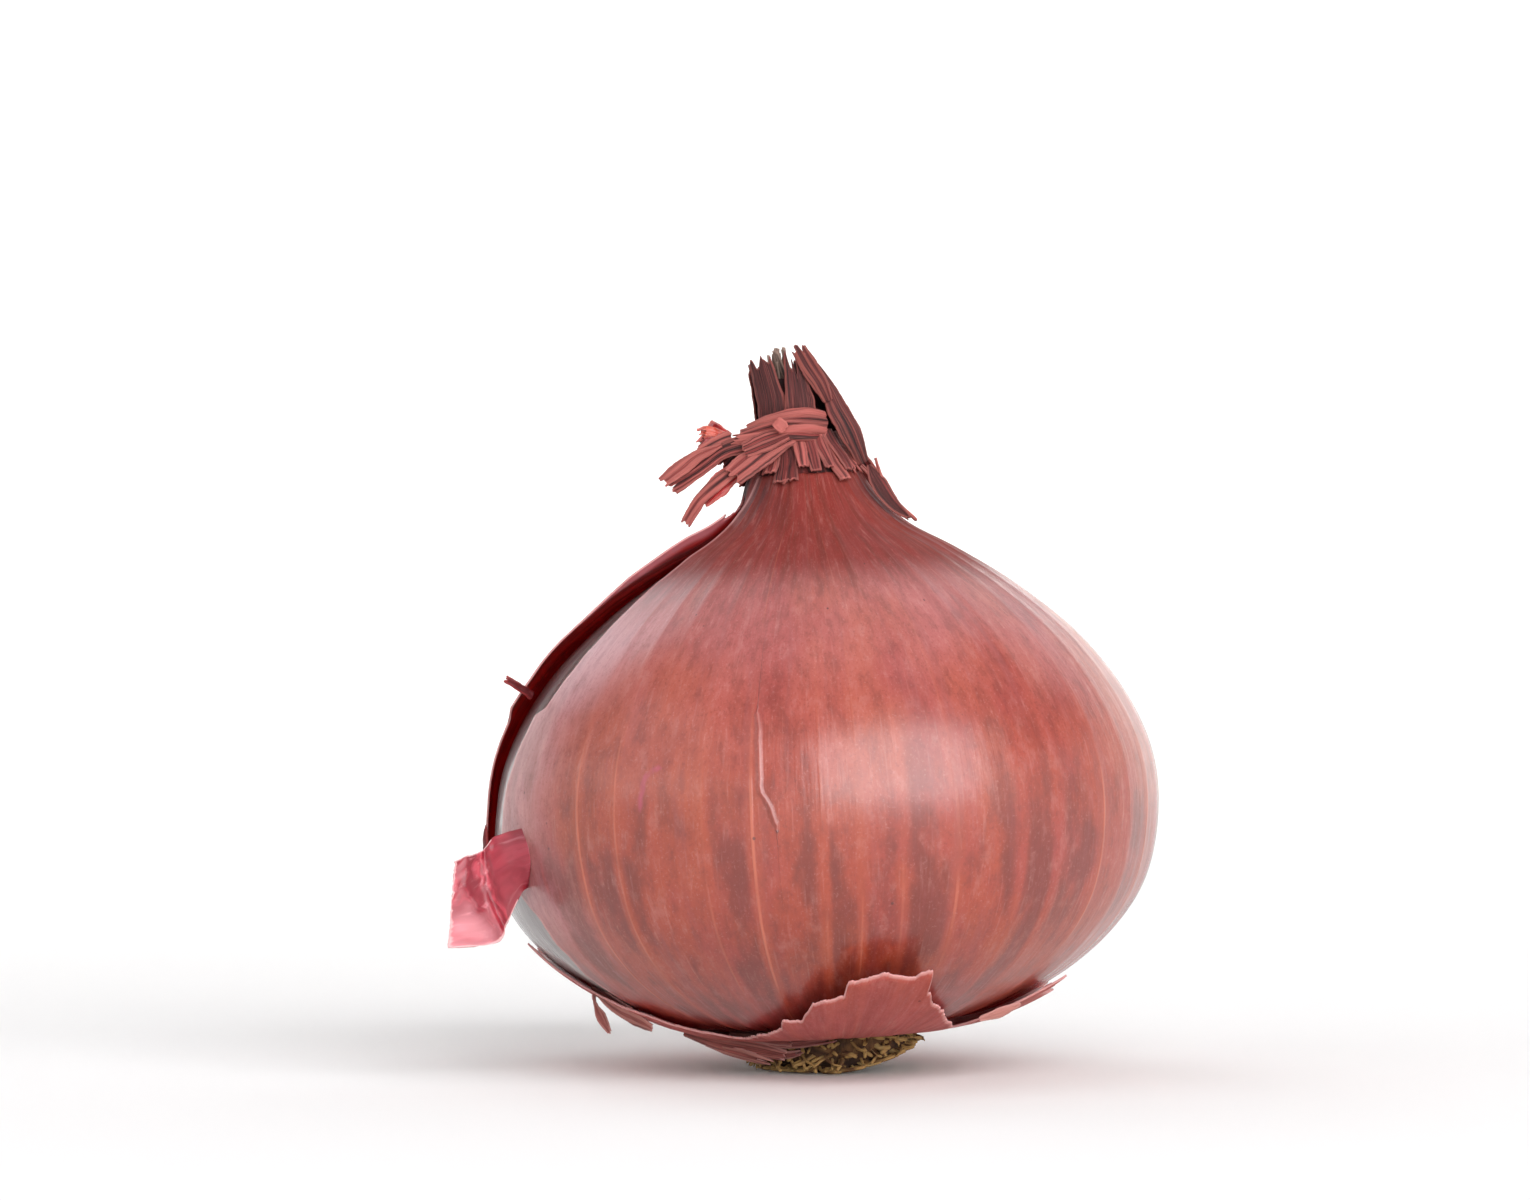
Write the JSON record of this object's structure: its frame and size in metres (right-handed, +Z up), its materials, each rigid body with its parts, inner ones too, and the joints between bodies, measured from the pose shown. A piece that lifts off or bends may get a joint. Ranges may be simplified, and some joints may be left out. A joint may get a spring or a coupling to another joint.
{
  "type": "red onion",
  "caption": "Whole red onion with dry papery skins, a torn dry neck and a tuft of root stubs; rests upright on its root plate.",
  "frame": {"origin": "middle of the small flat spot under the root plate, on the surface that the onion rests on", "axes": "+Z up, -Y towards the viewer of the picture, -X to the left, where the neck leans and the outer skin is torn"},
  "size_m": [0.0774, 0.0759, 0.0802],
  "materials": {
    "bulb": "satin",
    "outer_skin": "satin",
    "loose_skin": "satin",
    "base_skin": "matte",
    "curled_flap": "satin",
    "neck": "matte",
    "roots": "matte"
  },
  "bodies": {
    "root": {"bulb": "bulb", "outer_skin": "outer_skin", "loose_skin": "loose_skin", "base_skin": "base_skin", "curled_flap": "curled_flap", "neck": "neck", "roots": "roots"}
  },
  "joints": []
}
